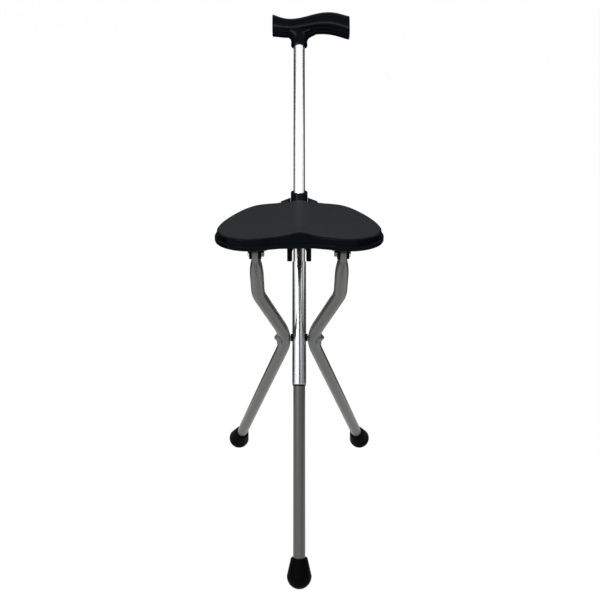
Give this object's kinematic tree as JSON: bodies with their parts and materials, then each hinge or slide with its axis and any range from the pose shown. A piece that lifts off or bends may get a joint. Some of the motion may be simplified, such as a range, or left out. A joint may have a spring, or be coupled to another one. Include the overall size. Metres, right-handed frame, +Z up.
{
  "type": "walking stick seat",
  "caption": "Walking stick that opens into a seat: a leaning stick with a grip handle, bent tube legs, and a wide moulded seat that hangs on a sliding collar.",
  "frame": {"origin": "centre of the small flat on the sole of the stick's own rubber foot, on the floor", "axes": "+Z up, +X to the right as the picture shows the stick seat, +Y away from the viewer, towards which the stick leans back"},
  "size_m": [0.2758, 0.4902, 0.809],
  "materials": {
    "polished_aluminium": "polished",
    "grey_paint": "satin",
    "bright_steel": "polished",
    "zinc_steel": "satin",
    "black_rubber": "matte",
    "gloss_black": "gloss",
    "black_plastic": "satin",
    "pad_charcoal": "matte"
  },
  "bodies": {
    "stick": {"lower_tube": "grey_paint", "sleeve_tube": "polished_aluminium", "upper_tube": "polished_aluminium", "sleeve_end_ring": "black_plastic", "sleeve_rivet": "bright_steel", "collar_stop_pin": "bright_steel", "handle": "gloss_black", "main_foot": "black_rubber", "main_foot_washer": "zinc_steel", "pivot_spacers": "black_plastic"},
    "legs": {"left_leg": "grey_paint", "right_leg": "grey_paint", "left_foot": "black_rubber", "right_foot": "black_rubber", "left_foot_washer": "zinc_steel", "right_foot_washer": "zinc_steel", "pivot_bolt": "bright_steel", "pivot_cap_nut": "bright_steel", "saddle_washers": "zinc_steel"},
    "seat": {"seat_top": "gloss_black", "seat_pad": "pad_charcoal", "seat_base": "gloss_black", "left_hinge_bracket": "black_plastic", "right_hinge_bracket": "black_plastic", "bracket_screws": "bright_steel", "hinge_pins": "bright_steel", "hinge_nuts": "zinc_steel", "stick_clip": "black_plastic", "clip_screws": "bright_steel"},
    "collar": {"slide_collar": "gloss_black", "trunnion_pins": "bright_steel"}
  },
  "joints": [
    {"name": "leg_fold", "type": "hinge", "parent": "stick", "child": "legs", "pos_m": [0, 0.18525, 0.33289], "axis": [-1, 0, 0], "range_deg": [0, 58.5]},
    {"name": "seat_fold", "type": "hinge", "parent": "legs", "child": "seat", "pos_m": [0, 0.0876, 0.51655], "axis": [1, 0, 0], "range_deg": [0, 117]},
    {"name": "collar_tilt", "type": "hinge", "parent": "seat", "child": "collar", "pos_m": [0, 0.29557, 0.52018], "axis": [-1, 0, 0], "range_deg": [0, 58.5]}
  ],
  "couplings": [
    {"joint": "seat_fold", "follows": "leg_fold", "ratio": 2},
    {"joint": "collar_tilt", "follows": "leg_fold", "ratio": 1}
  ]
}
